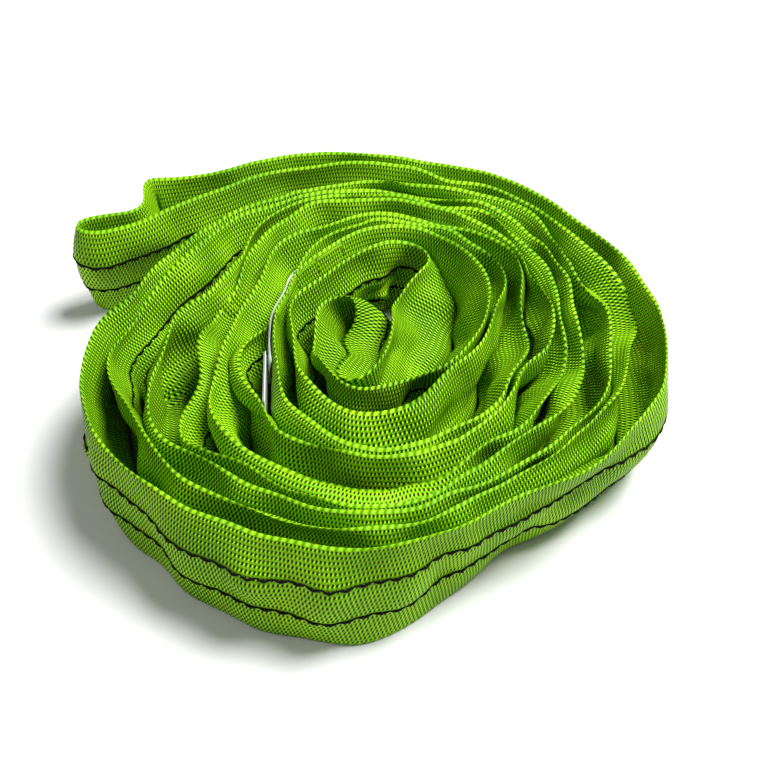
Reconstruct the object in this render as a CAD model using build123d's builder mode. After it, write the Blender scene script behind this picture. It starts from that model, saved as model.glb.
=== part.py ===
from build123d import *
from math import cos, radians, sin, tan
import os

# A polyester round sling for a 2 t load, laid double and coiled on its edge like a rose.
# Units are millimetres. The origin is the middle of the sling's box, at the surface that it
# stands on. +X is to the right, +Y goes to the back, and +Z is up, across the sleeve's width.

# Sleeve: a flat-woven tube, standing on one folded edge
sleeve_width = 50.0          # lay-flat width, which stands upright
sleeve_thickness = 3.8       # the flattened tube with its core
sleeve_wall = 0.6            # one layer of woven polyester
bend_share = 0.45            # how much of each run its bend takes up

# Two black marker threads in the outside face
marker_width = 1.6
marker_depth = 0.3
marker_heights = [sleeve_width / 3, sleeve_width * 2 / 3]

# Closure: one end of the tube is tucked into the other and sewn across, under the label
closure_layer = 0.3          # the tucked end, pressed flat inside the wall
closure_corners = (46, 47)   # it spans these two bends of the route
thread_size = 0.8            # width of a row of sewing
thread_proud = 0.2           # how far a row stands out of the cloth

# Load core: one endless hank of yarn that almost fills the tube
core_room = 0.15             # free space beside the hank, also beside its tapes
core_edge_room = 2.5         # free space above and below the hank
tape_thickness = 0.2         # whipping tape round the hank
tape_length = 14.0
yarn_tape_length = 34.0      # longer tape over the two ends of the yarn
tape_corners = [7, 21, 34, 90, 114]          # the bends of the route that they sit on
yarn_tape_corner = 18

# Label on the outside face, sewn at its far part and free at its near end
label_height = 46.0
label_thickness = 0.5
cover_thickness = 0.25       # clear film over the label
label_gap = 0.6              # between the sleeve and the label
cover_gap = 0.15             # between the label and its film
flap_length = 28.0           # the free end, which swings
flap_gap = 0.8               # slit where the label bends
label_corners = (45, 48)     # the fixed part spans these bends of the route
thread_margin = 1.0          # from the label's edge to the end of a row

# Traceability tag, sealed in beside the hank
tag_length = 30.0
tag_height = 22.0
tag_thickness = 0.2
tag_corner = 28

# The coil: how far each strand stands from the coil's middle, every 30 degrees, clockwise
# from the back. Each line of four runs over a third of a turn, from the outside inwards.
step_angle = 30.0
outer_strand = [
    123, 122, 122, 127, 121, 109, 118.5, 119, 127, 120.5, 105, 106.5,
    104, 107, 106.5, 99.5, 97, 95.3, 106, 102.2, 104.5, 92, 83, 96.5,
    93.8, 96.2, 88.8, 84, 84.5, 79, 87, 85, 79, 66, 64.5, 73.5,
    80.3, 79.5, 74.5, 60, 60.5, 61.5, 70.5, 65.5, 50, 44.5, 50.5, 53,
    69.3, 68.5, 60.5, 42.5, 40, 37.5, 42, 41.5, 36.5, 31.5, 32,
]
inner_strand = [
    117, 112, 116.5, 112, 103.5, 101, 113, 107.8, 111, 108, 99.8, 101.5,
    98.9, 101.6, 94.3, 91.5, 91.5, 89.2, 99, 96.8, 97, 75, 76, 91,
    88.7, 90.5, 83.2, 77.5, 68, 67.5, 78, 75.5, 64, 55, 57.5, 66.5,
    75.5, 74.5, 69, 48.5, 46.5, 44.5, 49, 49, 43.5, 38.5, 42.5, 38.5,
]

# Outer bight, the open eye at the left, from the inner strand round to the outer strand
outer_bight = [
    (-30, 116.5), (-58, 108), (-80, 94.5), (-98, 79), (-114, 64.5), (-129, 58.5),
    (-140.5, 62.5), (-138.5, 70), (-127, 72.5), (-115, 75), (-109.5, 84), (-111, 96),
    (-103, 104.5), (-88, 107), (-74, 111), (-60, 118), (-32, 124),
]

# Inner bight, the fold in the middle, from the outer strand round to the inner strand
inner_bight = [
    (-15, 26), (-5, 23), (0, 12), (-4, -2), (-10, -14), (-16, -23), (-12, -30), (-5, -25),
    (2, -14), (7, 1), (11, 14), (17, 28), (22, 41), (23, 51), (17, 58), (8, 57), (-4, 50),
]


def strand_points(radii):
    """The points of one strand, from the outside of the coil inwards."""
    turns = [radians(90 - step_angle * place) for place in range(len(radii))]
    return [(radius * cos(turn), radius * sin(turn)) for radius, turn in zip(radii, turns)]


outer_points = strand_points(outer_strand)
inner_points = strand_points(inner_strand)
raw_route = outer_points + inner_bight + inner_points[::-1] + outer_bight
count = len(raw_route)


def bend(points, corner):
    """The unit directions before and after a corner, and the radius of its bend."""
    before = points[corner] - points[corner - 1]
    after = points[(corner + 1) % count] - points[corner]
    half_turn = radians(before.get_angle(after)) / 2
    short = min(before.length, after.length)
    return before.normalized(), after.normalized(), bend_share * short / tan(half_turn)


def moved_corner(points, corner, distance):
    """A corner and its bend's radius, with the route moved to its left by a distance."""
    before, after, radius = bend(points, corner)
    side = Vector(-before.Y - after.Y, before.X + after.X) / (1 + before.dot(after))
    turns_left = before.X * after.Y - before.Y * after.X > 0
    return points[corner] + side * distance, radius - distance if turns_left else radius + distance


def ring(points, distance):
    """The corners and the radii of the whole route, moved to its left by a distance."""
    corners = [moved_corner(points, corner, distance) for corner in range(count)]
    return [corner for corner, _ in corners], [radius for _, radius in corners]


# The sling's own box gives the origin, so the sling stands round it
raw_corners = [Vector(x, y) for x, y in raw_route]
with BuildLine() as raw_line:
    FilletPolyline(*raw_corners, radius=ring(raw_corners, 0)[1], close=True)
middle = raw_line.line.bounding_box().center()
route = [corner - middle for corner in raw_corners]


def closed_band(left, right):
    """The flat shape between two loops: the sling's outside face is on the left."""
    with BuildSketch(mode=Mode.PRIVATE) as band:
        with BuildLine():
            corners, radii = ring(route, left)
            FilletPolyline(*corners, radius=radii, close=True)
        make_face()
        with BuildLine():
            corners, radii = ring(route, right)
            FilletPolyline(*corners, radius=radii, close=True)
        make_face(mode=Mode.SUBTRACT)
    return band.sketch


def half_way(corner):
    """The plane at the middle of the run after a corner: X runs ahead and Y is the left."""
    ahead = route[corner + 1] - route[corner]
    return Plane(origin=(route[corner] + route[corner + 1]) / 2, x_dir=ahead, z_dir=(0, 0, 1))


def bend_middle(corner):
    """The plane at the middle of a corner's bend: X runs ahead and Y is the left."""
    before, after, radius = bend(route, corner)
    inwards = (after - before).normalized()
    reach = radius / cos(radians(before.get_angle(after)) / 2) - radius
    return Plane(origin=route[corner] + inwards * reach, x_dir=before + after, z_dir=(0, 0, 1))


def open_band(first, last, near, far):
    """The flat shape from the middle of the run before one corner to after another."""
    with BuildSketch(mode=Mode.PRIVATE) as band:
        with BuildLine():
            sides = []
            for distance in (near, far):
                moved = [moved_corner(route, corner, distance) for corner in range(first, last + 1)]
                start = half_way(first - 1).from_local_coords(Vector(0, distance))
                end = half_way(last).from_local_coords(Vector(0, distance))
                corners = [start] + [corner for corner, _ in moved] + [end]
                sides.append(FilletPolyline(*corners, radius=[radius for _, radius in moved]))
            Line(sides[0] @ 0, sides[1] @ 0)
            Line(sides[0] @ 1, sides[1] @ 1)
        make_face()
    return band.sketch


half = sleeve_thickness / 2
cavity_half = half - sleeve_wall
tuck_half = cavity_half - closure_layer
core_half = tuck_half - core_room - tape_thickness
core_low = sleeve_wall + closure_layer + core_edge_room
core_height = sleeve_width - 2 * core_low
label_low = (sleeve_width - label_height) / 2
label_near = half + label_gap
label_far = label_near + label_thickness
cover_near = label_far + cover_gap
cover_far = cover_near + cover_thickness
os.makedirs("parts", exist_ok=True)

# Woven sleeve, hollow all the way round, with shallow grooves for its marker threads
with BuildPart() as sleeve:
    with BuildSketch():
        add(closed_band(half, -half))
    extrude(amount=sleeve_width)
    with BuildSketch(Plane.XY.offset(sleeve_wall)):
        add(closed_band(cavity_half, -cavity_half))
    extrude(amount=sleeve_width - 2 * sleeve_wall, mode=Mode.SUBTRACT)
    for height in marker_heights:
        with BuildSketch(Plane.XY.offset(height - marker_width / 2)):
            add(closed_band(half + marker_depth, half - marker_depth))
        extrude(amount=marker_width, mode=Mode.SUBTRACT)
sleeve.part.label = "sleeve"
export_step(sleeve.part, "parts/sleeve.step")

# Marker threads, flush with the outside face
for name, height in zip(["marker_thread_lower", "marker_thread_upper"], marker_heights):
    with BuildPart() as marker:
        with BuildSketch(Plane.XY.offset(height - marker_width / 2)):
            add(closed_band(half, half - marker_depth))
        extrude(amount=marker_width)
    marker.part.label = name
    export_step(marker.part, f"parts/{name}.step")

# Load core: the hank's flattened bundle, endless like the sleeve
with BuildPart() as load_core:
    with BuildSketch(Plane.XY.offset(core_low)):
        add(closed_band(core_half, -core_half))
    extrude(amount=core_height)
load_core.part.label = "load_core"
export_step(load_core.part, "parts/load_core.step")

# Whipping tapes round the hank, and the longer one over the two ends of its yarn
tape_half = core_half + tape_thickness
tapes = [(f"core_tape_{number}", corner, tape_length) for number, corner in enumerate(tape_corners, 1)]
tapes.append(("yarn_end_tape", yarn_tape_corner, yarn_tape_length))
for name, corner, length in tapes:
    with BuildPart() as tape:
        with BuildSketch(Plane.XY.offset(core_low - tape_thickness)):
            add(open_band(corner, corner, -tape_half, tape_half))
        extrude(amount=core_height + 2 * tape_thickness)
        with BuildSketch(Plane.XY.offset(core_low)):
            add(open_band(corner, corner, -core_half, core_half))
        extrude(amount=core_height, mode=Mode.SUBTRACT)
        with BuildSketch(bend_middle(corner)):
            Rectangle(length, 4 * sleeve_thickness)
        extrude(amount=sleeve_width, mode=Mode.INTERSECT)
    tape.part.label = name
    export_step(tape.part, f"parts/{name}.step")

# Tucked end of the sleeve, a second layer inside the closure
with BuildPart() as closure_tuck:
    with BuildSketch(Plane.XY.offset(sleeve_wall)):
        add(open_band(*closure_corners, -cavity_half, cavity_half))
    extrude(amount=sleeve_width - 2 * sleeve_wall)
    with BuildSketch(Plane.XY.offset(sleeve_wall + closure_layer)):
        add(open_band(*closure_corners, -tuck_half, tuck_half))
    extrude(amount=sleeve_width - 2 * (sleeve_wall + closure_layer), mode=Mode.SUBTRACT)
closure_tuck.part.label = "closure_tuck"
export_step(closure_tuck.part, "parts/closure_tuck.step")

# Closure sewing: rows across the width, on both faces of the sleeve
row_planes = [half_way(corner) for corner in closure_corners]
row_planes += [bend_middle(corner) for corner in closure_corners]
with BuildPart() as closure_stitching:
    for plane in row_planes:
        with BuildSketch(plane.offset(sleeve_wall)):
            with Locations((0, half + thread_proud / 2), (0, -half - thread_proud / 2)):
                Rectangle(thread_size, thread_proud)
        extrude(amount=sleeve_width - 2 * sleeve_wall)
closure_stitching.part.label = "closure_stitching"
export_step(closure_stitching.part, "parts/closure_stitching.step")

# Label and its clear film, along the outside face
for name, near, far in (("label", label_near, label_far), ("label_cover", cover_near, cover_far)):
    with BuildPart() as sheet:
        with BuildSketch(Plane.XY.offset(label_low)):
            add(open_band(*label_corners, near, far))
        extrude(amount=label_height)
    sheet.part.label = name
    export_step(sheet.part, f"parts/{name}.step")

# Label sewing: rows across the far end of the label, over its film
row_place = cover_far + thread_proud / 2
with BuildPart() as label_stitching:
    for plane in (half_way(label_corners[1] - 1), bend_middle(label_corners[1])):
        with BuildSketch(plane.offset(label_low + thread_margin)):
            with Locations((0, row_place)):
                Rectangle(thread_size, thread_proud)
        extrude(amount=label_height - 2 * thread_margin)
label_stitching.part.label = "label_stitching"
export_step(label_stitching.part, "parts/label_stitching.step")

# The label's free end and its film swing about the upright line where the label bends
bend_line = half_way(label_corners[0] - 1)
flap_middle = -flap_gap - flap_length / 2
for name, near, far in (("label_flap", label_near, label_far), ("flap_cover", cover_near, cover_far)):
    with BuildPart() as flap:
        with BuildSketch(bend_line.offset(label_low)):
            with Locations((flap_middle, (near + far) / 2)):
                Rectangle(flap_length, far - near)
        extrude(amount=label_height)
    flap.part.label = name
    export_step(flap.part, f"parts/{name}.step")

# Traceability tag beside the hank, inside the sleeve
tag_near = core_half + core_room / 2
with BuildPart() as trace_tag:
    with BuildSketch(Plane.XY.offset((sleeve_width - tag_height) / 2)):
        add(open_band(tag_corner, tag_corner, tag_near, tag_near + tag_thickness))
    extrude(amount=tag_height)
    with BuildSketch(bend_middle(tag_corner)):
        Rectangle(tag_length, 4 * sleeve_thickness)
    extrude(amount=sleeve_width, mode=Mode.INTERSECT)
trace_tag.part.label = "trace_tag"
export_step(trace_tag.part, "parts/trace_tag.step")

hinge = bend_line.from_local_coords(Vector(0, (label_near + label_far) / 2))
print("length of the loop:", round(closed_band(half, 0).area / half, 1))
print("middle of the route's box:", middle)
print("label bend line:", hinge)
print("smallest bend radius:", round(min(ring(route, 0)[1]), 2))
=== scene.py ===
import math

import bpy
import numpy as np
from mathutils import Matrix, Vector


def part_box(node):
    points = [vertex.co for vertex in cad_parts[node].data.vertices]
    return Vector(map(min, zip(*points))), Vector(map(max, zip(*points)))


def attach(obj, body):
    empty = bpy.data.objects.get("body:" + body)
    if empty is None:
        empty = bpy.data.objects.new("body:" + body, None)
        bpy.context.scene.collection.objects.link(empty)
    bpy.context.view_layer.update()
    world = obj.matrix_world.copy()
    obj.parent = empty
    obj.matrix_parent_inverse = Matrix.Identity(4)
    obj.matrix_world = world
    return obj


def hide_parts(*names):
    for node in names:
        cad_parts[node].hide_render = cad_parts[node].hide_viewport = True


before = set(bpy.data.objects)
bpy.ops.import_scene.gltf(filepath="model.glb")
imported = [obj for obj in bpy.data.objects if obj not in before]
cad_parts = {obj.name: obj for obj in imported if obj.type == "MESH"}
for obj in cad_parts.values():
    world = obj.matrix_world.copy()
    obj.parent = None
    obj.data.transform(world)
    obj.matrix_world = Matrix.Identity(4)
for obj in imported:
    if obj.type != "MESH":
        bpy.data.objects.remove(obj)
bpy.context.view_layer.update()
scene = bpy.context.scene

# ---------------------------------------------------------------------------------------
# Studio: a pale floor that runs out of sight, one large soft lamp high at the back right,
# a weaker one that fills the left, an even sky and the camera above the front.
# ---------------------------------------------------------------------------------------
floor_reach = 6.0
scene.view_settings.view_transform = "Standard"

floor_mesh = bpy.data.meshes.new("floor")
floor_mesh.from_pydata(
    [(-floor_reach, -floor_reach, 0), (floor_reach, -floor_reach, 0),
     (floor_reach, floor_reach, 0), (-floor_reach, floor_reach, 0)], [], [(0, 1, 2, 3)])
floor = bpy.data.objects.new("floor", floor_mesh)
scene.collection.objects.link(floor)
floor_paint = bpy.data.materials.new("floor_paint")
floor_paint.use_nodes = True
floor_shader = floor_paint.node_tree.nodes["Principled BSDF"]
floor_shader.inputs["Base Color"].default_value = (0.88, 0.88, 0.88, 1)
floor_shader.inputs["Roughness"].default_value = 0.9
floor_mesh.materials.append(floor_paint)

sky = bpy.data.worlds.new("studio")
sky.use_nodes = True
sky.node_tree.nodes["Background"].inputs["Color"].default_value = (1, 1, 1, 1)
sky.node_tree.nodes["Background"].inputs["Strength"].default_value = 0.19
scene.world = sky


def lamp(name, place, target, size, power):
    """A round soft lamp that points at a target."""
    light = bpy.data.lights.new(name, "AREA")
    light.shape = "DISK"
    light.size = size
    light.energy = power
    holder = bpy.data.objects.new(name, light)
    holder.location = place
    holder.rotation_euler = (Vector(target) - Vector(place)).to_track_quat("-Z", "Y").to_euler()
    scene.collection.objects.link(holder)


lamp("key_lamp", (0.58, 0.26, 1.22), (0, 0, 0), 0.75, 33)
lamp("fill_lamp", (-0.9, -0.3, 1.2), (0, 0, 0), 0.5, 2.5)

view = bpy.data.cameras.new("camera")
view.lens = 50.45
view.sensor_width = 36
view.clip_start = 0.01
camera = bpy.data.objects.new("camera", view)
camera.location = (0.00888, -0.33428, 0.36904)
aim = Vector((0.01227, 0.00529, 0)) - camera.location
camera.rotation_euler = aim.to_track_quat("-Z", "Y").to_euler()
scene.collection.objects.link(camera)
scene.camera = camera

# ---------------------------------------------------------------------------------------
# Sleeve: a seamless tube of woven polyester, pressed flat round its core. The endless loop
# is laid double and coiled on its folded edge, so every turn stands upright, leans against
# the next one, and puckers where the cloth is longer than the core inside it.
# ---------------------------------------------------------------------------------------
sleeve_width = 0.050
edge_radius = 0.0005          # the rounded fold at the top and the bottom
full_half = 0.0034            # half of the tube's thickness where nothing presses on it
least_half = 0.0013           # and where two turns press on each other
stations = 1976               # cross-sections along the loop
levels = 22                   # points up each face
path_smoothing = 0.0035       # how far along the loop its corners are blurred

# The route in millimetres, as in the CAD: how far each strand stands from the coil's middle,
# every 30 degrees from the back and clockwise, and the corners of the loop's two ends.
step_angle = 30.0
outer_strand = [
    123, 122, 122, 127, 121, 109, 118.5, 119, 127, 120.5, 105, 106.5,
    104, 107, 106.5, 99.5, 97, 95.3, 106, 102.2, 104.5, 92, 83, 96.5,
    93.8, 96.2, 88.8, 84, 84.5, 79, 87, 85, 79, 66, 64.5, 73.5,
    80.3, 79.5, 74.5, 60, 60.5, 61.5, 70.5, 65.5, 50, 44.5, 50.5, 53,
    69.3, 68.5, 60.5, 42.5, 40, 37.5, 42, 41.5, 36.5, 31.5, 32,
]
inner_strand = [
    117, 112, 116.5, 112, 103.5, 101, 113, 107.8, 111, 108, 99.8, 101.5,
    98.9, 101.6, 94.3, 91.5, 91.5, 89.2, 99, 96.8, 97, 75, 76, 91,
    88.7, 90.5, 83.2, 77.5, 68, 67.5, 78, 75.5, 64, 55, 57.5, 66.5,
    75.5, 74.5, 69, 48.5, 46.5, 44.5, 49, 49, 43.5, 38.5, 42.5, 38.5,
]
outer_bight = [
    (-30, 116.5), (-58, 108), (-80, 94.5), (-98, 79), (-114, 64.5), (-131, 57.5),
    (-143.5, 62), (-142, 70.5), (-128, 73.5), (-116, 75), (-110, 83), (-114.5, 97),
    (-115, 106), (-95, 105), (-74, 110), (-60, 118), (-32, 124),
]
inner_bight = [
    (-15, 26), (-5, 23), (0, 12), (-4, -2), (-10, -14), (-16, -23), (-12, -30), (-5, -25),
    (2, -14), (7, 1), (11, 14), (17, 28), (22, 41), (23, 51), (17, 58), (8, 57), (-4, 50),
]


def strand_points(radii):
    """Corners of a strand that winds clockwise from the back, one for each step."""
    turns = [math.radians(90 - step_angle * place) for place in range(len(radii))]
    return [(reach * math.cos(turn), reach * math.sin(turn)) for reach, turn in zip(radii, turns)]


def blurred(values, reach, spacing):
    """Values along the endless loop, smoothed over a reach in metres."""
    spread = np.fft.rfftfreq(len(values), spacing)
    fade = np.exp(-2 * (math.pi * spread * reach) ** 2)
    fade = fade.reshape((-1,) + (1,) * (values.ndim - 1))
    return np.fft.irfft(np.fft.rfft(values, axis=0) * fade, len(values), axis=0)


def spaced(points, number):
    """Points the same distance apart along the closed line, and the line's length."""
    closed = np.vstack([points, points[:1]])
    steps = np.linalg.norm(np.diff(closed, axis=0), axis=1)
    along = np.concatenate([[0], np.cumsum(steps)])
    places = np.arange(number) * along[-1] / number
    return np.stack([np.interp(places, along, closed[:, axis]) for axis in (0, 1)], 1), along


millimetres = 1000
corners = np.array(strand_points(outer_strand) + inner_bight
                   + strand_points(inner_strand)[::-1] + outer_bight) / millimetres
# Every corner is rounded by one parabola, from the middle of the run before it to the next
bend_points = 40
share = np.linspace(0, 1, bend_points, endpoint=False)[:, None]
starts = (np.roll(corners, 1, axis=0) + corners) / 2
ends = np.roll(starts, -1, axis=0)
rounded = np.concatenate([
    (1 - share) ** 2 * start + 2 * share * (1 - share) * corner + share ** 2 * end
    for start, corner, end in zip(starts, corners, ends)])
path, along = spaced(rounded, stations)
corner_place = along[bend_points // 2:-1:bend_points]     # where each bend's middle is
path = blurred(path, path_smoothing, along[-1] / stations)
path, loop_line = spaced(path, stations)
loop_length = float(loop_line[-1])
corner_place = corner_place * loop_length / along[-1]
spacing = loop_length / stations
path -= (path.min(0) + path.max(0)) / 2
place_along = np.arange(stations) * spacing
ahead = np.roll(path, -1, axis=0) - np.roll(path, 1, axis=0)
ahead /= np.linalg.norm(ahead, axis=1)[:, None]
aside = np.stack([-ahead[:, 1], ahead[:, 0]], 1)  # to the left, where the outside face is


def corner_distance(corner):
    """How far along the loop a bend is, also between two of them."""
    whole = int(math.floor(corner))
    first, second = corner_place[whole % len(corners)], corner_place[(whole + 1) % len(corners)]
    return first + (corner - whole) * ((second - first) % loop_length)


def nearness(corner, reach):
    """1 at a bend and 0 further than about twice the reach from it."""
    half_loop = loop_length / 2
    gap = (place_along - corner_distance(corner) + half_loop) % loop_length - half_loop
    return np.exp(-(gap / reach) ** 2)


# How the cloth stands: degrees from upright at five heights from the bottom, leaning away
# from the coil's middle. First the coil as a whole, then the folds, each at a bend.
coil_middle = np.array([0.00888, -0.00471])
from_middle = path - coil_middle
bearing = np.arctan2(from_middle[:, 0], from_middle[:, 1])
radius = np.linalg.norm(from_middle, axis=1)
outwards = np.sign((from_middle * aside).sum(1))
outwards = np.round(blurred(np.round(outwards), 0.02, spacing))
outwards = np.where(outwards == 0, 1, outwards)

turn_steps = 12
inner_first = len(outer_strand) + len(inner_bight) + len(inner_strand) - 1


def outer_at(turn, degrees):
    """The corner number on the outer strand, clockwise from the back."""
    return turn * turn_steps + degrees / step_angle


def inner_at(turn, degrees):
    """The corner number on the inner strand, which is numbered the other way."""
    return inner_first - turn * turn_steps - degrees / step_angle


# The label keeps its stretch flat, the tongue in the middle is smooth, and the eye stands
# open. The turns inside the outermost one are crowded and crumple most.
crowded = np.clip((0.118 - radius) / 0.02, 0, 1)
calm = 1 - 0.75 * np.maximum(nearness(45.5, 0.03), nearness(47.5, 0.05))
flat_tongue = 1 - 0.85 * nearness(62.8, 0.035)
eye = nearness(129.5, 0.045)
lean_left = 20 * np.clip(np.cos(bearing - math.radians(285)), 0, 1) ** 1.5
lean_right = 17 * np.clip(np.cos(bearing - math.radians(95)), 0, 1)
lean_front = -9 * np.clip(np.cos(bearing - math.radians(200)), 0, 1) ** 3
coil_lean = (lean_left + lean_right + lean_front) * np.clip(radius / 0.05 - 0.4, 0, 1)
coil_lean = coil_lean * (1 - np.clip(1.3 * eye, 0, 1)) * calm
lean_heights = np.array([0.06, 0.28, 0.5, 0.72, 0.94])       # shares of the sleeve's width
lean = np.repeat(coil_lean[:, None], len(lean_heights), 1) * outwards[:, None]
folds = [
    # bend, reach, leans from the bottom up
    (inner_at(0, 275), 0.030, (14, 14, 10, 8, -10)),
    (outer_at(2, 180), 0.034, (0, 0, 0, -25, -62)),
    (outer_at(3, 180), 0.030, (0, 0, 0, -10, -25)),
    (outer_at(0, 205), 0.040, (4, 0, -2, -8, -22)),
    (inner_at(3, 185), 0.026, (0, 0, 0, -22, -55)),
    (inner_at(0, 90), 0.020, (0, 0, 12, 24, 10)),
    (inner_at(1, 250), 0.022, (0, 10, 22, 10, -20)),
    (outer_at(1, 232), 0.024, (0, 0, 6, -12, -30)),
    (inner_at(2, 260), 0.020, (0, -10, 8, 14, -14)),
    (inner_at(2, 85), 0.024, (0, -16, -16, 8, 22)),
    (outer_at(0, 112), 0.022, (0, 0, -14, -16, -30)),
    (outer_at(0, 250), 0.055, (-13, -12, -11, -10, -12)),
    (inner_at(1, 285), 0.016, (0, 0, 24, 40, 10)),
    (outer_at(1, 268), 0.014, (0, 0, -18, -34, -50)),
    (inner_at(2, 292), 0.015, (0, 10, 30, 30, -8)),
    (outer_at(2, 250), 0.015, (0, 0, 20, 36, 0)),
    (outer_at(1, 75), 0.016, (0, 0, -20, -38, -46)),
    (inner_at(1, 100), 0.015, (0, 14, 32, 30, 0)),
    (outer_at(2, 110), 0.015, (0, 0, 22, 34, -20)),
    (inner_at(2, 60), 0.014, (0, 0, -22, -36, -30)),
    (outer_at(3, 95), 0.014, (0, 10, 30, 30, 0)),
    (inner_at(0, 120), 0.030, (-30, -26, -8, 0, 0)),
    (inner_at(0, 78), 0.020, (0, 15, 38, 50, 25)),
]
for bend, reach, leans in folds:
    lean += nearness(bend, reach)[:, None] * np.array(leans)[None, :] * outwards[:, None]
# The tongue of the middle fold lies back, and the turns round it curl with it
middle_fold = [
    (57.0, 0.014, (0, 10, 30, 44, 20)),
    (59.0, 0.010, (0, 8, 16, 20, 0)),
    (62.0, 0.024, (0, -5, -42, -80, -92)),
    (64.6, 0.009, (0, 0, -10, -20, -30)),
    (69.6, 0.022, (10, 44, 60, 40, -20)),
    (72.5, 0.012, (0, 24, 36, 24, 0)),
]
for bend, reach, leans in middle_fold:
    lean += nearness(bend, reach)[:, None] * np.array(leans)[None, :]
rng = np.random.default_rng(11)


def ripple(pitch, rows):
    """Smooth random values along the loop for several rows, between about -1 and 1."""
    values = blurred(rng.standard_normal((stations, rows)), pitch, spacing)
    return values / values.std(0) * 0.6


wander = (ripple(0.006, 5) * np.array([5, 8, 12, 15, 18])
          + ripple(0.018, 5) * np.array([4, 7, 10, 14, 16]))
wander_size = calm * flat_tongue * (0.85 + 0.9 * crowded)
lean += (wander - wander.mean(1)[:, None] * 0.7) * wander_size[:, None]
lean = np.radians(lean)

# The section of each station is worked out from its leans, and stands under its top edge
parts_per_level = 4
width_share = np.linspace(0, 1, levels + 1)
fine_share = np.linspace(0, 1, parts_per_level * levels + 1)
between = np.array([np.interp(fine_share, lean_heights, row) for row in lean])
part_height = sleeve_width / (parts_per_level * levels)
part_lean = (between[:, 1:] + between[:, :-1]) / 2


def summed_up(steps):
    """The running sum up each section, kept at its levels."""
    runs = np.concatenate([np.zeros((stations, 1)), np.cumsum(steps * part_height, 1)], 1)
    return runs[:, ::parts_per_level]


out_run = summed_up(np.sin(part_lean))
up_run = summed_up(np.cos(part_lean))
crest = up_run.argmax(1)
out_run -= out_run[np.arange(stations), crest][:, None]
tongue_bend, tongue_reach, tongue_shift = 62.0, 0.024, -0.009
out_run += nearness(tongue_bend, tongue_reach)[:, None] * tongue_shift
pulled_out = [
    # bend, reach, how far the top edge moves away from the coil's middle
    (outer_at(0, 262), 0.055, 0.0075),
    (inner_at(0, 262), 0.050, 0.007),
    (inner_at(0, 78), 0.020, 0.007),
]
for bend, reach, shift in pulled_out:
    out_run += (nearness(bend, reach) * shift * outwards)[:, None]
out_run += (crowded * calm * flat_tongue * ripple(0.011, 1)[:, 0] * 0.0048)[:, None]
out_run += (ripple(0.007, 1) * 0.0009 + ripple(0.020, 1) * 0.0018) * calm[:, None]
up_run += ripple(0.022, 1) * 0.0012 * (0.3 + width_share)[None, :]
up_run += edge_radius * 0.5 - up_run.min(1)[:, None]
out_run = blurred(out_run, 0.004, spacing)
up_run = blurred(up_run, 0.004, spacing)

# Neighbours: the nearest other turn on each side of every station
apart = path[None, :, :] - path[:, None, :]
sideways = (apart * aside[:, None, :]).sum(2)
lengthways = (apart * ahead[:, None, :]).sum(2)
index_gap = np.abs(np.arange(stations)[None, :] - np.arange(stations)[:, None])
index_gap = np.minimum(index_gap, stations - index_gap)
own_stations = 8              # that many stations each way belong to the same stretch
beside, least_gap = 0.003, 0.0005
nobody = 9.0                  # metres, where no other turn stands
near_enough = (np.abs(lengthways) < beside) & (index_gap > own_stations)
neighbours = []
for side in (1, -1):
    reach_out = np.where(near_enough & (sideways * side > least_gap), sideways * side, nobody)
    nearest = reach_out.argmin(1)
    neighbours.append((side, nearest, reach_out[np.arange(stations), nearest]))
del apart, sideways, lengthways, index_gap, near_enough


def gap_beside(side, nearest, flat_gap):
    """How far each point's neighbour on one side is, and how far the two face each other."""
    facing = (aside * aside[nearest]).sum(1)[:, None]
    return flat_gap[:, None] + side * (out_run[nearest] * facing - out_run), facing


# Turns that cut into each other push apart until each has its place
clearance = 0.0002
need = 2 * least_half + clearance
settling_rounds = 90
reachable, least_facing = 0.05, 0.3             # turns that are further or cross are left out
for settling in range(settling_rounds):
    push = np.zeros_like(out_run)
    for side, nearest, flat_gap in neighbours:
        gap, facing = gap_beside(side, nearest, flat_gap)
        touching = (flat_gap < reachable)[:, None] * (np.abs(facing) > least_facing)
        short = np.clip(need - gap, 0, None) * touching
        push -= side * short * 0.5
        given = np.zeros_like(push)
        np.add.at(given, nearest, side * short * 0.25 * np.sign(facing))
        push += given
    out_run += blurred(push, 0.003, spacing)

most_room = 0.02
room = []
for side, nearest, flat_gap in neighbours:
    gap, facing = gap_beside(side, nearest, flat_gap)
    gap = np.where(np.abs(facing) > least_facing, gap, most_room)
    room.append(np.clip(gap / 2 - clearance, 0.0004, most_room))

# Puckers: the thickness of each half of the tube, with short folds that fade at both edges
rise = np.sin(math.pi * width_share) ** 1.3
skins = []
for side, space in zip((1, -1), room):
    slow = ripple(0.009, 4)
    quick = ripple(0.0042, 6)
    slow_rows = np.array([np.interp(width_share, np.linspace(0, 1, 4), line) for line in slow])
    quick_rows = np.array([np.interp(width_share, np.linspace(0, 1, 6), line) for line in quick])
    wish = edge_radius + (full_half - edge_radius) * rise[None, :]
    wish = wish + rise[None, :] * (0.0021 * slow_rows + 0.0014 * quick_rows)
    if side > 0:                                # pressed flat under the label's free end
        wish = np.minimum(wish, 0.012 - 0.0108 * nearness(43.9, 0.030)[:, None])
    # the lower part sags into the gaps between the turns
    low_part = np.exp(-((width_share - 0.26) / 0.19) ** 2)[None, :]
    sag = low_part * (space < 0.019) * (1 - eye)[:, None]
    wish = np.maximum(wish, blurred(sag * space, 0.003, spacing))
    # the hank inside keeps the faces apart, except at the two edges
    over_hank = np.clip(rise * 4 - 0.5, 0, 1)[None, :]
    least = 0.0006 + (0.0005 + 0.0007 * nearness(62.6, 0.030)[:, None]) * over_hank
    skin = np.maximum(np.minimum(wish, blurred(space, 0.002, spacing)), least)
    skins.append(skin.clip(0.0005, 0.012))

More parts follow.
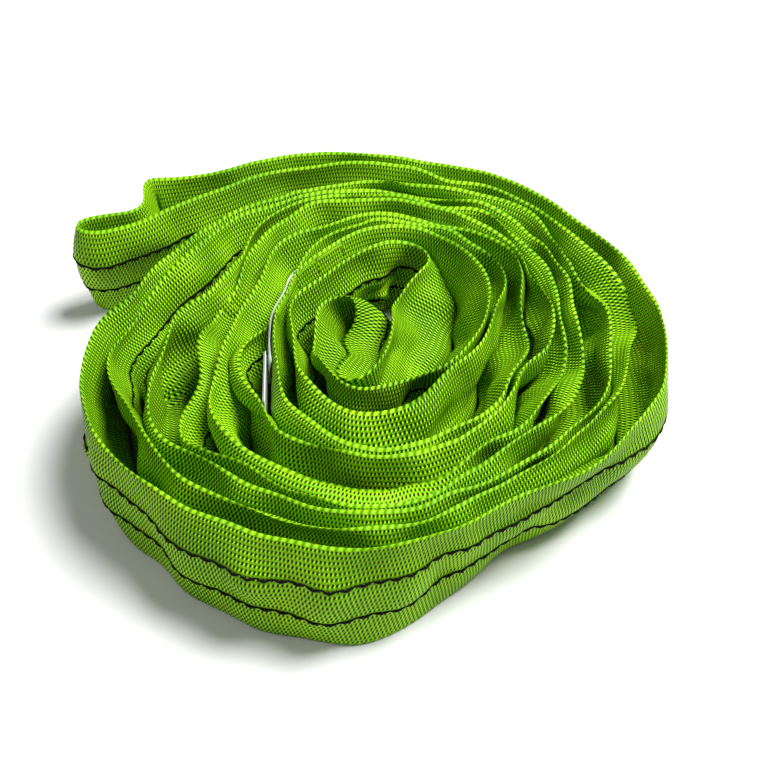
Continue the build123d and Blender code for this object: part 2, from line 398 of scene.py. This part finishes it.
# Surface points: up the outside face and down the other, which meet in a fold at each edge
run_up = np.gradient(up_run, axis=1)
run_out = np.gradient(out_run, axis=1)
run_length = np.hypot(run_up, run_out)
face_out, face_up = run_up / run_length, -run_out / run_length
tips = np.ones(levels + 1)
tips[[0, -1]] = 0.0


def face_points(side):
    """How far out and up the points of one face are."""
    thick = skins[0 if side > 0 else 1] * tips[None, :]
    return out_run + side * thick * face_out, up_run + side * thick * face_up


left_out, left_up = face_points(1)
right_out, right_up = face_points(-1)
section_out = np.concatenate([left_out, right_out[:, -2:0:-1]], 1)
section_up = np.concatenate([left_up, right_up[:, -2:0:-1]], 1)
ring = section_out.shape[1]
sleeve_points = np.stack([
    path[:, None, 0] + aside[:, None, 0] * section_out,
    path[:, None, 1] + aside[:, None, 1] * section_out,
    section_up], 2)

station_numbers = np.arange(stations)
ring_numbers = np.arange(ring)
one = station_numbers[:, None] * ring + ring_numbers[None, :]
two = station_numbers[:, None] * ring + (ring_numbers[None, :] + 1) % ring
three = ((station_numbers[:, None] + 1) % stations) * ring + (ring_numbers[None, :] + 1) % ring
four = ((station_numbers[:, None] + 1) % stations) * ring + ring_numbers[None, :]
sleeve_faces = np.stack([one, four, three, two], 2).reshape(-1, 4)


def made(name, points, faces, smooth=True):
    """A new object with this mesh, at the origin."""
    mesh = bpy.data.meshes.new(name)
    mesh.from_pydata(np.asarray(points).reshape(-1, 3).tolist(), [], np.asarray(faces).tolist())
    mesh.polygons.foreach_set("use_smooth", [smooth] * len(mesh.polygons))
    thing = bpy.data.objects.new(name, mesh)
    scene.collection.objects.link(thing)
    return thing


sleeve = made("woven_sleeve", sleeve_points, sleeve_faces)

# Cells of the weave along and round the tube, as a map that the cloth's pattern follows
cell_length, cell_rows = 0.0015, 48
cells_along = 2 * round(loop_length / cell_length / 2)
across_share = np.concatenate([width_share, 2 - width_share[-2:0:-1]]) / 2
u_first = np.repeat(station_numbers / stations * cells_along, ring)
u_next = u_first + cells_along / stations
v_first = np.tile(across_share * cell_rows, stations)
v_next = np.tile(np.append(across_share[1:], 1.0) * cell_rows, stations)
weave_map = sleeve.data.uv_layers.new(name="weave")
weave_map.data.foreach_set("uv", np.stack(
    [u_first, v_first, u_next, v_first, u_next, v_next, u_first, v_next], 1).ravel())
# Painted shade: the weave's pits are painted darker, and its yarn tops brighter, at the coil's
# sides and in its middle than elsewhere
painted_contrast = np.maximum(np.abs(np.sin(bearing)) ** 1.5 * np.clip((0.132 - radius) / 0.02, 0, 1),
                   np.clip((0.058 - radius) / 0.015, 0, 1))
painted_shade_depth = sleeve.data.attributes.new(name="painted_shade_depth", type="FLOAT", domain="POINT")
painted_shade_depth.data.foreach_set("value", np.repeat(blurred(painted_contrast, 0.008, spacing), ring))


def node(tree, kind, inputs=(), **settings):
    """A new node with its settings, and its inputs linked or given a value by number or name."""
    added = tree.nodes.new(kind)
    for key, value in settings.items():
        setattr(added, key, value)
    for key, value in dict(inputs).items():
        if isinstance(value, bpy.types.NodeSocket):
            tree.links.new(value, added.inputs[key])
        else:
            added.inputs[key].default_value = value
    return added


def sum_of(tree, operation, first, second=0.0, clamp=False):
    """The result of one operation on one or two values."""
    return node(tree, "ShaderNodeMath", {0: first, 1: second}, operation=operation,
                use_clamp=clamp).outputs[0]


def scaled(tree, value, factor, offset=0.0):
    """A value times a factor, plus an offset."""
    return node(tree, "ShaderNodeMath", {0: value, 1: factor, 2: offset},
                operation="MULTIPLY_ADD").outputs[0]


def finish_named(name, colour, roughness):
    """A new material, its tree and its shader."""
    material = bpy.data.materials.new(name)
    material.use_nodes = True
    shader = material.node_tree.nodes["Principled BSDF"]
    shader.inputs["Base Color"].default_value = (*colour, 1)
    shader.inputs["Roughness"].default_value = roughness
    return material, material.node_tree, shader


def woven(name, map_name, light, dark, shadow, slant=0.25, bump_height=0.0010):
    """A coarse plain weave: slanted bright yarns in rows, with dark pits between them, whose
    darkness is painted shade.

    Its painted shade in the pits, and the brightness of its yarn tops, grow stronger with a point
    attribute of painted shade depth.
    """
    material, tree, shader = finish_named(name, light, 0.55)
    cells = node(tree, "ShaderNodeUVMap", uv_map=map_name)
    parts = node(tree, "ShaderNodeSeparateXYZ", {0: cells.outputs[0]})
    slanted = scaled(tree, parts.outputs["Y"], slant, parts.outputs["X"])
    across = sum_of(tree, "COSINE", sum_of(tree, "MULTIPLY", slanted, 2 * math.pi))
    up = sum_of(tree, "COSINE", sum_of(tree, "MULTIPLY", parts.outputs["Y"], math.pi))
    narrow = sum_of(tree, "MULTIPLY", up, sum_of(tree, "POWER", sum_of(tree, "ABSOLUTE", up), 1.6))
    staggered = sum_of(tree, "MULTIPLY", across, narrow)
    # both folded edges show as a cord of larger slanted loops
    from_edge = sum_of(tree, "PINGPONG", parts.outputs["Y"], 12.0)
    corded = node(tree, "ShaderNodeMapRange", {0: from_edge, 1: 0.95, 2: 0.5}).outputs[0]
    slope = sum_of(tree, "MULTIPLY", parts.outputs["Y"], 1.9)
    loops = scaled(tree, parts.outputs["X"], math.pi, slope)
    loops = scaled(tree, sum_of(tree, "COSINE", loops), 0.20, -0.02)
    blend = node(tree, "ShaderNodeMix", {0: corded, 2: staggered, 3: loops}, data_type="FLOAT")
    staggered = blend.outputs[0]
    pits = node(tree, "ShaderNodeMapRange", {0: staggered, 1: 0.0, 2: 0.65},
                interpolation_type="SMOOTHSTEP").outputs[0]
    yarns = node(tree, "ShaderNodeMapRange",
                 {0: staggered, 1: 0.2, 2: -0.9, 3: 0.5, 4: 1.0}).outputs[0]
    height = sum_of(tree, "SUBTRACT", yarns, sum_of(tree, "MULTIPLY", pits, 0.5), clamp=True)
    object_place = node(tree, "ShaderNodeTexCoord").outputs["Object"]
    cloud = node(tree, "ShaderNodeTexNoise", {"Vector": object_place, "Scale": 34.0, "Detail": 3.0})
    fibre = node(tree, "ShaderNodeTexNoise",
                 {"Vector": object_place, "Scale": 1500.0, "Detail": 2.0})
    tint = scaled(tree, cloud.outputs["Fac"], 0.5, 0.75)
    # painted shade: a point attribute deepens the shade painted in the pits at the coil's sides and
    # middle
    shade_depth_here = node(tree, "ShaderNodeAttribute", attribute_name="painted_shade_depth").outputs["Fac"]
    strength = scaled(tree, shade_depth_here, 1.25, 0.75)
    tinted = sum_of(tree, "MULTIPLY", height, tint)
    depth = sum_of(tree, "MULTIPLY", sum_of(tree, "SUBTRACT", tinted, 0.66), strength)
    # painted shade: the ramp darkens the pits down to the shadow colour at their bottom, through
    # the dark colour, up to the light colour of the yarn tops
    ramp = node(tree, "ShaderNodeValToRGB", {"Fac": sum_of(tree, "ADD", depth, 0.60)})
    ramp.color_ramp.elements[0].position = 0.10
    ramp.color_ramp.elements[0].color = (*shadow, 1)
    ramp.color_ramp.elements[1].position = 0.74
    ramp.color_ramp.elements[1].color = (*light, 1)
    middle = ramp.color_ramp.elements.new(0.48)
    middle.color = (*dark, 1)
    tree.links.new(ramp.outputs["Color"], shader.inputs["Base Color"])
    rough = scaled(tree, fibre.outputs["Fac"], 0.2, 0.42)
    tree.links.new(rough, shader.inputs["Roughness"])
    relief = scaled(tree, fibre.outputs["Fac"], 0.12, height)
    bump = node(tree, "ShaderNodeBump",
                {"Height": relief, "Distance": bump_height, "Strength": 0.9})
    tree.links.new(bump.outputs["Normal"], shader.inputs["Normal"])
    shader.inputs["Specular IOR Level"].default_value = 0.12
    return material


# painted shade: the dark and shadow colours are the shade painted into the weave's pits
sleeve_cloth = woven("sleeve_cloth", "weave", light=(0.52, 0.96, 0.008),
                     dark=(0.11, 0.36, 0.002), shadow=(0.005, 0.030, 0.0004))
sleeve.data.materials.append(sleeve_cloth)
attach(sleeve, "sling")
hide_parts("sleeve")

# ---------------------------------------------------------------------------------------
# Places on the sleeve: every smaller piece is laid on it or in it by its distance along the
# loop, its height up the cloth and how far it stands off the middle of the tube.
# ---------------------------------------------------------------------------------------


def looked_up(grid, distances, heights):
    """Values of a grid of stations and levels, between its points."""
    row = np.asarray(distances) / spacing % stations
    column = np.clip(np.asarray(heights) / sleeve_width, 0, 1) * levels
    row_low = np.floor(row).astype(int) % stations
    column_low = np.clip(np.floor(column).astype(int), 0, levels - 1)
    row_part, column_part = row - np.floor(row), column - column_low

    def in_row(number):
        return (grid[number, column_low] * (1 - column_part)
                + grid[number, column_low + 1] * column_part)

    return in_row(row_low) * (1 - row_part) + in_row((row_low + 1) % stations) * row_part


plan_grids = [np.repeat(column[:, None], levels + 1, 1)
              for column in (path[:, 0], path[:, 1], aside[:, 0], aside[:, 1])]


def on_sleeve(distances, heights, offset, side=0):
    """Points at an offset from the tube's middle, or from its face on the given side."""
    distances, heights, offset = np.broadcast_arrays(distances, heights, offset)
    reach_out = offset.astype(float)
    if side:
        reach_out = side * (offset + looked_up(skins[0 if side > 0 else 1], distances, heights))
    out = (looked_up(out_run, distances, heights)
           + reach_out * looked_up(face_out, distances, heights))
    up = looked_up(up_run, distances, heights) + reach_out * looked_up(face_up, distances, heights)
    x, y, aside_x, aside_y = (looked_up(grid, distances, heights) for grid in plan_grids)
    return np.stack([x + aside_x * out, y + aside_y * out, up], -1)


# ---------------------------------------------------------------------------------------
# Marker threads: two black polyester yarns woven into the outside face. Each floats over a
# few picks and dips under one, so it reads as a row of short slanted dashes.
# ---------------------------------------------------------------------------------------
dash_length = 0.0056
marker_steps = 4 * round(loop_length / dash_length)


def geometry_tree(name, numbers):
    """An empty geometry tree with one mesh input and named sizes."""
    tree = bpy.data.node_groups.new(name, "GeometryNodeTree")
    tree.interface.new_socket("Geometry", in_out="INPUT", socket_type="NodeSocketGeometry")
    for title, value in numbers.items():
        socket = tree.interface.new_socket(title, in_out="INPUT", socket_type="NodeSocketFloat")
        socket.default_value = value
    tree.interface.new_socket("Geometry", in_out="OUTPUT", socket_type="NodeSocketGeometry")
    return tree, tree.nodes.new("NodeGroupInput"), tree.nodes.new("NodeGroupOutput")


def finished_tree(tree, made_last, material, result):
    """Ends a tree with real geometry in its material."""
    real = node(tree, "GeometryNodeRealizeInstances", {"Geometry": made_last.outputs[0]})
    painted = node(tree, "GeometryNodeSetMaterial",
                   {"Geometry": real.outputs[0], "Material": material})
    tree.links.new(painted.outputs[0], result.inputs[0])


def thread_tree(name, material, sides):
    """Turns a mesh of edges into yarns: an oval section swept along each line."""
    tree, given, result = geometry_tree(name, {"Half Width": 0.0005, "Half Depth": 0.0003})
    lines = node(tree, "GeometryNodeMeshToCurve", {"Mesh": given.outputs["Geometry"]})
    upright = node(tree, "GeometryNodeSetCurveNormal", {"Curve": lines.outputs[0]}, mode="Z_UP")
    circle = node(tree, "GeometryNodeCurvePrimitiveCircle", {"Resolution": sides, "Radius": 1.0})
    size = node(tree, "ShaderNodeCombineXYZ",
                {0: given.outputs["Half Depth"], 1: given.outputs["Half Width"], 2: 1.0})
    oval = node(tree, "GeometryNodeTransform",
                {"Geometry": circle.outputs[0], "Scale": size.outputs[0]})
    swell = node(tree, "GeometryNodeInputNamedAttribute", {"Name": "swell"}, data_type="FLOAT")
    sized = node(tree, "GeometryNodeSetCurveRadius",
                 {"Curve": upright.outputs[0], "Radius": swell.outputs[0]})
    swept = node(tree, "GeometryNodeCurveToMesh",
                 {"Curve": sized.outputs[0], "Profile Curve": oval.outputs[0],
                  "Scale": swell.outputs[0], "Fill Caps": True})
    finished_tree(tree, swept, material, result)
    return tree


def grown(name, lines, tree, closed=False, swell=None, **sizes):
    """Runs a geometry tree on lines of points and keeps the result as a plain mesh."""
    points, edges, widths = [], [], []
    for line in lines:
        first, number = len(points), len(line)
        points += line.tolist()
        edges += [(first + k, first + k + 1) for k in range(number - 1)]
        if closed:
            edges.append((first + number - 1, first))
        widths += (swell if swell is not None else np.ones(number)).tolist()
    mesh = bpy.data.meshes.new(name + "_lines")
    mesh.from_pydata(points, edges, [])
    mesh.attributes.new("swell", "FLOAT", "POINT").data.foreach_set("value", widths)
    holder = bpy.data.objects.new(name + "_lines", mesh)
    scene.collection.objects.link(holder)
    maker = holder.modifiers.new("maker", "NODES")
    maker.node_group = tree
    for item in tree.interface.items_tree:
        if item.item_type == "SOCKET" and item.in_out == "INPUT" and item.name in sizes:
            maker[item.identifier] = sizes[item.name]
    evaluated = holder.evaluated_get(bpy.context.evaluated_depsgraph_get())
    result = bpy.data.meshes.new_from_object(evaluated)
    result.name = name
    bpy.data.objects.remove(holder)
    bpy.data.meshes.remove(mesh)
    result.polygons.foreach_set("use_smooth", [True] * len(result.polygons))
    thing = bpy.data.objects.new(name, result)
    scene.collection.objects.link(thing)
    return thing


def yarn_finish(name, colour, roughness, scale):
    """Spun or twisted yarn: a fine fibre grain over a slightly uneven colour."""
    material, tree, shader = finish_named(name, colour, roughness)
    place = node(tree, "ShaderNodeTexCoord").outputs["Object"]
    fibres = node(tree, "ShaderNodeTexNoise", {"Vector": place, "Scale": scale, "Detail": 4.0})
    ramp = node(tree, "ShaderNodeValToRGB", {"Fac": fibres.outputs["Fac"]})
    ramp.color_ramp.elements[0].position = 0.3
    ramp.color_ramp.elements[0].color = (*[part * 0.55 for part in colour], 1)
    ramp.color_ramp.elements[1].position = 0.7
    ramp.color_ramp.elements[1].color = (*colour, 1)
    shader.inputs["Specular IOR Level"].default_value = 0.125
    tree.links.new(ramp.outputs["Color"], shader.inputs["Base Color"])
    bump = node(tree, "ShaderNodeBump",
                {"Height": fibres.outputs["Fac"], "Distance": 0.0002, "Strength": 0.6})
    tree.links.new(bump.outputs["Normal"], shader.inputs["Normal"])
    return material


marker_yarn = yarn_finish("marker_yarn", (0.004, 0.004, 0.004), 0.8, 1500.0)
marker_maker = thread_tree("marker_maker", marker_yarn, 5)
marker_along = np.arange(marker_steps) * loop_length / marker_steps
dash = marker_along / dash_length % 1
float_rise = np.sin(math.pi * dash)             # 0 where the yarn dips, 1 where it floats
zigzag = 0.0005 * (np.abs(2 * dash - 1) * 2 - 1)
for name, height in (("marker_thread_lower", sleeve_width / 3),
                     ("marker_thread_upper", sleeve_width * 2 / 3)):
    line = on_sleeve(marker_along, height + zigzag, 0.00015 + 0.00015 * float_rise, side=1)
    marker = grown(name + "_yarn", [line], marker_maker, closed=True,
                   swell=0.6 + 0.75 * float_rise,
                   **{"Half Width": 0.0007, "Half Depth": 0.00032})
    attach(marker, "sling")
    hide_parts(name)

# ---------------------------------------------------------------------------------------
# Load core: one endless hank of undyed high-tenacity yarn, many turns side by side, which
# carries the whole load and fills the flattened sleeve.
# ---------------------------------------------------------------------------------------
core_strands, core_pitch = 12, 3                # yarns, and stations from point to point
core_low, core_high = 0.009, 0.041
core_yarn = yarn_finish("core_yarn", (0.80, 0.80, 0.76), 0.6, 900.0)
core_maker = thread_tree("core_maker", core_yarn, 6)
core_along = place_along[::core_pitch]
core_lines = [
    on_sleeve(core_along, height, 0.0001 * np.sin(core_along / 0.021 + 2.4 * number))
    for number, height in enumerate(np.linspace(core_low, core_high, core_strands))]
hank = grown("hank_yarns", core_lines, core_maker, closed=True,
             **{"Half Width": 0.0008, "Half Depth": 0.0003})
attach(hank, "sling")
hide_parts("load_core")


# ---------------------------------------------------------------------------------------
# Whipping tapes and the longer tape over the yarn's two ends: strips of woven cotton tape
# wound once round the hank, so that its yarns stay together inside the sleeve.
# ---------------------------------------------------------------------------------------
def wrapping(name, middle, length, low, high, off, thickness, map_name):
    """A flattened closed band round the hank, with its weave's map."""
    columns, rows = max(4, round(length / 0.002)), 12
    distances = middle + np.linspace(-length / 2, length / 2, columns + 1)
    heights = np.linspace(low, high, rows + 1)
    loops = []
    for distance in distances:
        loops.append(np.concatenate([
            on_sleeve(distance, heights, off), on_sleeve(distance, heights[::-1], -off)]))
    around = len(loops[0])
    faces = [(a * around + b, (a + 1) * around + b,
              (a + 1) * around + (b + 1) % around, a * around + (b + 1) % around)
             for a in range(columns) for b in range(around)]
    band = made(name, np.array(loops), faces)
    cell_map = band.data.uv_layers.new(name=map_name)
    corners_uv = []
    for a in range(columns):
        for b in range(around):
            corners_uv += [a * 2, b * 2, a * 2 + 2, b * 2, a * 2 + 2, b * 2 + 2, a * 2, b * 2 + 2]
    cell_map.data.foreach_set("uv", corners_uv)
    wall = band.modifiers.new("wall", "SOLIDIFY")
    wall.thickness = thickness
    wall.offset = 0
    return band


# painted shade: the same ramp darkens the tape's pits to its dark and shadow colours
tape_cloth = woven("tape_cloth", "weave", light=(0.78, 0.75, 0.66), dark=(0.62, 0.59, 0.5),
                   shadow=(0.3, 0.28, 0.22), slant=0.0, bump_height=0.0002)
tape_round, tape_edges = 0.079, (0.0058, 0.0442)
tape_bends = {"core_tape_1": 7, "core_tape_2": 21, "core_tape_3": 34, "core_tape_4": 90,
              "core_tape_5": 114, "yarn_end_tape": 18}
for name, bend in tape_bends.items():
    length = 0.034 if name == "yarn_end_tape" else 0.014
    tape = wrapping(name + "_strip", corner_distance(bend), length, low=tape_edges[0],
                    high=tape_edges[1], off=0.00045, thickness=0.0002, map_name="weave")
    tape.data.materials.append(tape_cloth)
    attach(tape, "sling")
    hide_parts(name)

# ---------------------------------------------------------------------------------------
# Closure: one end of the tubular cloth is tucked into the other under the label, and rows
# of thread are sewn through both, across the whole width.
# ---------------------------------------------------------------------------------------
closure_start, closure_end = corner_distance(45.5), corner_distance(47.5)
closure_length, tuck_round = closure_end - closure_start, 0.0965
tuck = wrapping("closure_tuck_end", (closure_start + closure_end) / 2, closure_length,
                low=0.0014, high=0.0486, off=0.00085, thickness=0.0003, map_name="weave")
tuck.data.materials.append(sleeve_cloth)
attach(tuck, "sling")
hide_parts("closure_tuck")

stitch_length, stitch_pitch, stitch_thickness = 0.0026, 0.0031, 0.0008


def stitch_tree(name, material):
    """Lays one lens-shaped stitch after another along each line."""
    tree, given, result = geometry_tree(
        name, {"Pitch": stitch_pitch, "Length": stitch_length, "Thickness": stitch_thickness})
    lines = node(tree, "GeometryNodeMeshToCurve", {"Mesh": given.outputs["Geometry"]})
    spots = node(tree, "GeometryNodeResampleCurve",
                 {"Curve": lines.outputs[0], "Length": given.outputs["Pitch"]}, mode="LENGTH")
    bead = node(tree, "GeometryNodeMeshUVSphere", {"Segments": 8, "Rings": 5, "Radius": 0.5})
    size = node(tree, "ShaderNodeCombineXYZ",
                {0: given.outputs["Thickness"], 1: given.outputs["Thickness"],
                 2: given.outputs["Length"]})
    long_bead = node(tree, "GeometryNodeTransform",
                     {"Geometry": bead.outputs[0], "Scale": size.outputs[0]})
    tangent = node(tree, "GeometryNodeInputTangent")
    turned = node(tree, "FunctionNodeAlignRotationToVector",
                  {"Vector": tangent.outputs[0]}, axis="Z")
    placed = node(tree, "GeometryNodeInstanceOnPoints",
                  {"Points": spots.outputs[0], "Instance": long_bead.outputs[0],
                   "Rotation": turned.outputs[0]})
    finished_tree(tree, placed, material, result)
    return tree


sewing_thread = yarn_finish("sewing_thread", (0.24, 0.52, 0.015), 0.5, 1800.0)
stitch_maker = stitch_tree("stitch_maker", sewing_thread)
closure_rows = [corner_distance(bend) for bend in (46.0, 46.5, 47.0, 47.5)]
row_heights = np.linspace(0.0015, 0.0485, 17)
closure_lines = [on_sleeve(row, row_heights, 0.0001, side=side)
                 for row in closure_rows for side in (1, -1)]
closure_sewing = grown("closure_sewing", closure_lines, stitch_maker,
                       Pitch=stitch_pitch, Length=stitch_length, Thickness=stitch_thickness)
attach(closure_sewing, "sling")
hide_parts("closure_stitching")

# ---------------------------------------------------------------------------------------
# Label: a white coated sheet under a clear flexible film, both sewn to the outside face at
# their far part. Their near end is free, and bends away on the upright line where it starts.
# ---------------------------------------------------------------------------------------
label_low, label_high = 0.002, 0.0464
label_start, label_end = corner_distance(44.5), corner_distance(48.5)
flap_length = 0.028


def panel(name, points_of, length, thickness):
    """A thin sheet laid out by a function of its own length and height."""
    columns, rows = max(6, round(length / 0.0018)), 20
    lengths = np.linspace(0, length, columns + 1)
    heights = np.linspace(label_low, label_high, rows + 1)
    grid = points_of(lengths[:, None], heights[None, :])
    up = rows + 1
    faces = [(a * up + b, (a + 1) * up + b, (a + 1) * up + b + 1, a * up + b + 1)
             for a in range(columns) for b in range(rows)]
    sheet = made(name, grid, faces)
    wall = sheet.modifiers.new("wall", "SOLIDIFY")
    wall.thickness = thickness
    wall.offset = 0
    return sheet


def coated_finish():
    """White coated sheet: nearly smooth, with a faint grain and greyer patches."""
    material, tree, shader = finish_named("label_sheet", (0.80, 0.82, 0.83), 0.4)
    place = node(tree, "ShaderNodeTexCoord").outputs["Object"]
    patches = node(tree, "ShaderNodeTexNoise", {"Vector": place, "Scale": 60.0, "Detail": 3.0})
    grain = node(tree, "ShaderNodeTexNoise", {"Vector": place, "Scale": 2200.0, "Detail": 1.0})
    ramp = node(tree, "ShaderNodeValToRGB", {"Fac": patches.outputs["Fac"]})
    ramp.color_ramp.elements[0].color = (0.66, 0.69, 0.70, 1)
    ramp.color_ramp.elements[1].color = (0.86, 0.87, 0.88, 1)
    tree.links.new(ramp.outputs["Color"], shader.inputs["Base Color"])
    bump = node(tree, "ShaderNodeBump",
                {"Height": grain.outputs["Fac"], "Distance": 0.0001, "Strength": 0.3})
    tree.links.new(bump.outputs["Normal"], shader.inputs["Normal"])
    return material


def film_finish():
    """Clear flexible film, faintly green-grey and slightly hazy."""
    material, tree, shader = finish_named("clear_film", (0.78, 0.84, 0.80), 0.18)
    place = node(tree, "ShaderNodeTexCoord").outputs["Object"]
    haze = node(tree, "ShaderNodeTexNoise", {"Vector": place, "Scale": 90.0, "Detail": 3.0})
    rough = scaled(tree, haze.outputs["Fac"], 0.25, 0.08)
    tree.links.new(rough, shader.inputs["Roughness"])
    bump = node(tree, "ShaderNodeBump",
                {"Height": haze.outputs["Fac"], "Distance": 0.0005, "Strength": 0.4})
    tree.links.new(bump.outputs["Normal"], shader.inputs["Normal"])
    shader.inputs["Alpha"].default_value = 0.4
    shader.inputs["IOR"].default_value = 1.5
    return material


label_sheet = coated_finish()
clear_film = film_finish()
bend_run = corners[45] - corners[44]
bend_run /= np.linalg.norm(bend_run)
bend_side = np.array([-bend_run[1], bend_run[0]])
layers = (
    # fixed part, free end, distance from the cloth, thickness, material, slot
    ("label", "label_flap", 0.00095, 0.0003, label_sheet, "label_sheet"),
    ("label_cover", "flap_cover", 0.0014, 0.00025, clear_film, "clear_film"))
for fixed_node, free_node, off, thickness, material, slot in layers:
    fixed = panel(fixed_node + "_sheet", lambda lengths, heights, off=off: on_sleeve(
        label_start + lengths, heights, off, side=1), label_end - label_start, thickness)
    flap_middle = np.mean(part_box(free_node), 0)[:2]

    def flap_points(lengths, heights, flap_middle=flap_middle):
        """Points of the free end, which stands along the bend's run and curls a little."""
        lengths, heights = np.broadcast_arrays(lengths, heights)
        back = lengths - flap_length / 2
        curl = 0.0003 * (lengths / flap_length) ** 2 * np.sin(heights * 60)
        flat = (flap_middle[None, None, :] - bend_run[None, None, :] * back[..., None]
                + bend_side[None, None, :] * curl[..., None])
        return np.concatenate([flat, heights[..., None]], -1)

    free = panel(free_node + "_sheet", flap_points, flap_length, thickness)
    for sheet, body, replaced, length in ((fixed, "sling", fixed_node, label_end - label_start),
                                          (free, "label_end", free_node, flap_length)):
        sheet.data.materials.append(material)
        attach(sheet, body)
        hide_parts(replaced)

label_rows = [corner_distance(47.5), corner_distance(48.0)]
label_lines = [on_sleeve(row, np.linspace(0.003, 0.047, 16), 0.0016, side=1) for row in label_rows]
label_sewing = grown("label_sewing", label_lines, stitch_maker,
                     Pitch=stitch_pitch, Length=stitch_length, Thickness=stitch_thickness)
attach(label_sewing, "sling")
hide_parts("label_stitching")

# ---------------------------------------------------------------------------------------
# Traceability tag: a small coated strip sealed in beside the hank, which stays readable
# from inside when the outer label is lost.
# ---------------------------------------------------------------------------------------
tag_length, tag_low, tag_high, tag_off = 0.030, 0.014, 0.036, 0.0004
tag_start = corner_distance(28) - tag_length / 2


def tag_points(lengths, heights):
    """Points of the tag, which is less high than the label."""
    height_share = (tag_high - tag_low) / (label_high - label_low)
    return on_sleeve(tag_start + lengths, tag_low + (heights - label_low) * height_share,
                     tag_off)


tag = panel("trace_tag_strip", tag_points, tag_length, 0.0002)
tag.data.materials.append(label_sheet)
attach(tag, "sling")
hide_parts("trace_tag")
